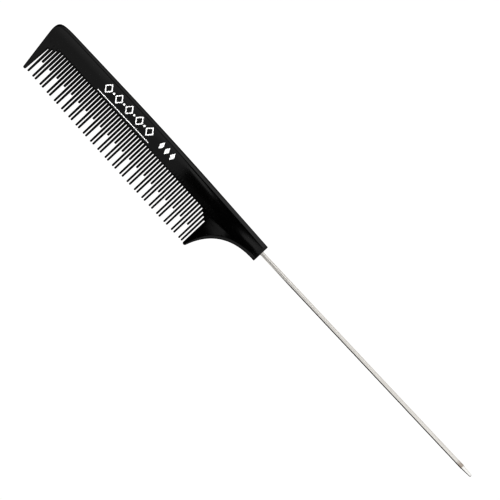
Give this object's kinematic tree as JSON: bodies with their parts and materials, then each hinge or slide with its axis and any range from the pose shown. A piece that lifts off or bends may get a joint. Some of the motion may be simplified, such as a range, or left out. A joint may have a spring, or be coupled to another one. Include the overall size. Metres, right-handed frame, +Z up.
{
  "type": "rat tail comb",
  "caption": "Slim one-piece comb with mixed long and short teeth, guard teeth at both ends, and a straight steel rat tail pin set in its neck.",
  "frame": {"origin": "under the middle of the comb's outline, on the plane that its flat panel rests on", "axes": "+X along the comb from the front guard to the tail's tip, +Y towards the back of the comb, so that the teeth point to -Y, +Z up out of the printed panel"},
  "size_m": [0.2158, 0.0226, 0.0042],
  "materials": {
    "comb_black": "polished black hard rubber with faint sanding lines",
    "pin_steel": "drawn and polished wire, warm grey",
    "white_ink": "thin opaque screen ink"
  },
  "bodies": {
    "root": {"spine": "comb_black", "handle": "comb_black", "front_guard": "comb_black", "rear_guard": "comb_black", "long_teeth": "comb_black", "short_teeth": "comb_black", "tail_pin": "pin_steel", "printed_mark": "white_ink"}
  },
  "joints": []
}
